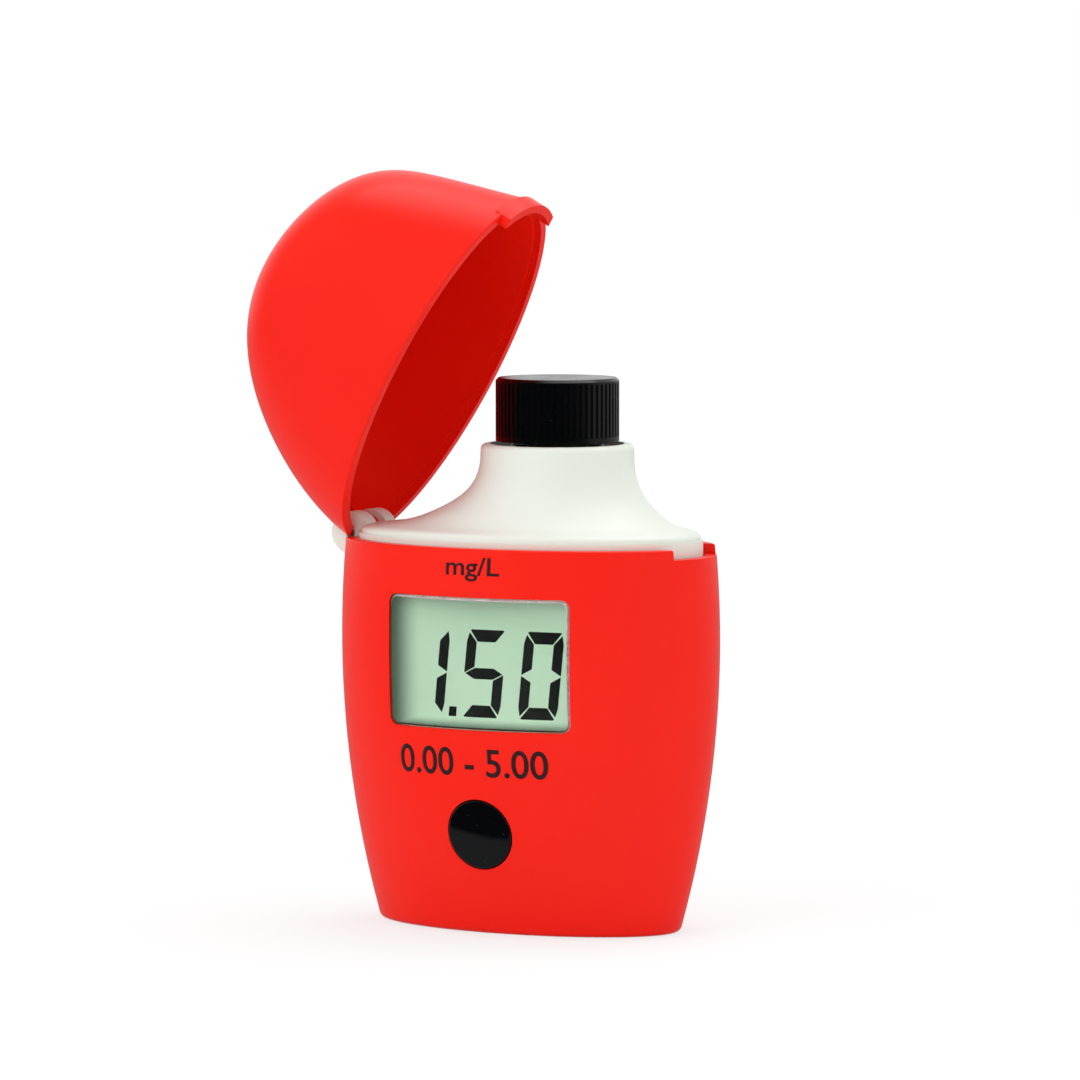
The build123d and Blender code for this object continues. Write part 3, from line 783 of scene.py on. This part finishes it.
def makeScrews(name, tree, look):
    low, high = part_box(look["node"])
    upright = look["upright"]
    length = high.z - low.z if upright else high.y - low.y
    mesh = runTree(name, tree, screwPlaces(look, low, high), {
        "Head Radius": look["radius"] * mm, "Head Depth": look["head"] * mm,
        "Shank Radius": look["shank"] * mm, "Shank Length": length - look["head"] * mm,
        "Recess": look["recess"] * mm, "Thread Turns": look["turns"],
        "Tilt": 0.0 if upright else math.radians(-90)}, steel)
    screws = finishMesh(name, mesh, steel, look["body"])
    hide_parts(look["node"])


screwTree = buildScrewTree()
for name, look in screwSets.items():
    makeScrews(name, screwTree, look)


# Glass thread on the cuvette's neck, under the cap
neckSet = {"radius": 6.6, "turns": 2.2, "climb": 4.4, "ridge": 0.28, "belowTop": 6.1, "steps": 72}


def makeNeckThread():
    look = neckSet
    tree, given, out = newTree("neckThread", ("Radius", "Turns", "Climb", "Ridge"))
    take = given.outputs
    wound = threadPart(tree, take["Radius"], take["Turns"], take["Climb"], take["Ridge"],
                       look["steps"])
    closeTree(tree, given, out, wound)
    low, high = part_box("cuvette")
    middle = (low + high) / 2
    mesh = runTree("neckThread", tree, [(middle.x, middle.y, high.z - look["belowTop"] * mm)], {
        "Radius": look["radius"] * mm, "Turns": look["turns"], "Climb": look["climb"] * mm,
        "Ridge": look["ridge"] * mm}, cuvetteClear)
    return finishMesh("neckThread", mesh, cuvetteClear, "cuvette")


makeNeckThread()
print("screws and neck thread made")


# Floor, which mirrors see as a dim bench that ends a little in front of the meter
floorSet = {"color": (0.905, 0.94, 0.945, 1.0), "roughness": 0.9, "glow": 0.66,
            "mirrorNear": 0.34, "mirrorFar": 0.02, "edge": -0.041, "edgeWidth": 0.002,
            "size": 3.0, "cells": 8, "below": 0.00005}


def floorMaterial():
    look = floorSet
    material, tree, shader = newMaterial("paleFloor")
    feed(tree, shader, {"Base Color": look["color"], "Roughness": look["roughness"],
                        "Specular IOR Level": 0.0})
    matt = shader.outputs["BSDF"]
    path = addNode(tree, "ShaderNodeLightPath").outputs
    white = addNode(tree, "ShaderNodeEmission").outputs["Emission"]
    seen = blendShaders(tree, look["glow"], matt, white)
    plain = blendShaders(tree, path["Is Camera Ray"], matt, seen)
    bench = mapRange(tree, placeAxes(tree)["Y"], look["edge"] - look["edgeWidth"], look["edge"],
                     look["mirrorFar"], look["mirrorNear"])
    dim = feed(tree, addNode(tree, "ShaderNodeEmission"), {"Strength": bench})
    surface = blendShaders(tree, path["Is Glossy Ray"], plain, dim.outputs["Emission"])
    feed(tree, tree.nodes["Material Output"], {"Surface": surface})
    return material


def makeFloor():
    form = bmesh.new()
    cells = floorSet["cells"]
    bmesh.ops.create_grid(form, x_segments=cells, y_segments=cells, size=floorSet["size"])
    bmesh.ops.translate(form, verts=form.verts, vec=(0, 0, -floorSet["below"]))
    mesh = meshFrom("floor", form)
    mesh.materials.append(floorMaterial())
    floor = bpy.data.objects.new("floor", mesh)
    scene.collection.objects.link(floor)


# The room as lamps, mirrors and the lens see it: white all round, but in mirrors it is dim
# behind the camera
worldSet = {"ambient": 0.62, "mirrorFront": 0.03, "mirrorBack": 0.9, "frontEdge": -0.75,
            "backEdge": 0.5}


def whiteBackground(tree, strength):
    node = addNode(tree, "ShaderNodeBackground")
    feed(tree, node, {"Color": (1.0, 1.0, 1.0, 1.0), "Strength": strength})
    return node.outputs["Background"]


def makeWorld():
    look = worldSet
    world = bpy.data.worlds.new("studio")
    scene.world = world
    world.use_nodes = True
    tree = world.node_tree
    tree.nodes.clear()
    out = addNode(tree, "ShaderNodeOutputWorld")
    path = addNode(tree, "ShaderNodeLightPath").outputs
    room = mapRange(tree, placeAxes(tree, "Generated")["Y"], look["frontEdge"], look["backEdge"],
                    look["mirrorFront"], look["mirrorBack"], "SMOOTHSTEP")
    lit = blendShaders(tree, path["Is Glossy Ray"], whiteBackground(tree, look["ambient"]),
                       whiteBackground(tree, room))
    direct = compute(tree, "MAXIMUM", path["Is Camera Ray"], path["Is Transmission Ray"])
    feed(tree, out, {"Surface": blendShaders(tree, direct, lit, whiteBackground(tree, 1.0))})


lampSet = {
    "topLight": {"toward": (0.05, 0.25, 1.0), "spread": 50, "power": 1.25, "mirrored": True},
    "frontFill": {"toward": (-0.55, -0.75, 0.55), "spread": 60, "power": 0.95, "mirrored": False},
    "rightFill": {"toward": (0.9, -0.35, 0.35), "spread": 60, "power": 0.42, "mirrored": False}}


def makeLamps():
    for name, look in lampSet.items():
        lamp = bpy.data.lights.new(name, "SUN")
        lamp.energy = look["power"]
        lamp.angle = math.radians(look["spread"])
        holder = bpy.data.objects.new(name, lamp)
        scene.collection.objects.link(holder)
        holder.visible_glossy = look["mirrored"]
        holder.rotation_euler = Vector(look["toward"]).to_track_quat("Z", "Y").to_euler()


makeFloor()
makeWorld()
makeLamps()


# Camera where the photograph was taken from
cameraSet = {"around": 27.067, "distance": 0.89381, "height": 0.12826, "yaw": -0.0994,
             "pitch": 4.5671, "lens": 202.95, "sensor": 36.0, "nearest": 0.01, "farthest": 20.0}


def makeCamera():
    look = cameraSet
    lens = bpy.data.cameras.new("camera")
    lens.lens = look["lens"]
    lens.sensor_width = look["sensor"]
    lens.clip_start = look["nearest"]
    lens.clip_end = look["farthest"]
    camera = bpy.data.objects.new("camera", lens)
    scene.collection.objects.link(camera)
    around = math.radians(look["around"])
    away = look["distance"]
    camera.location = (away * math.sin(around), -away * math.cos(around), look["height"])
    camera.rotation_euler = (math.radians(90 - look["pitch"]), 0,
                             around + math.radians(look["yaw"]))
    scene.camera = camera


makeCamera()
scene.view_settings.view_transform = "Standard"
print("floor, lamps and camera placed")
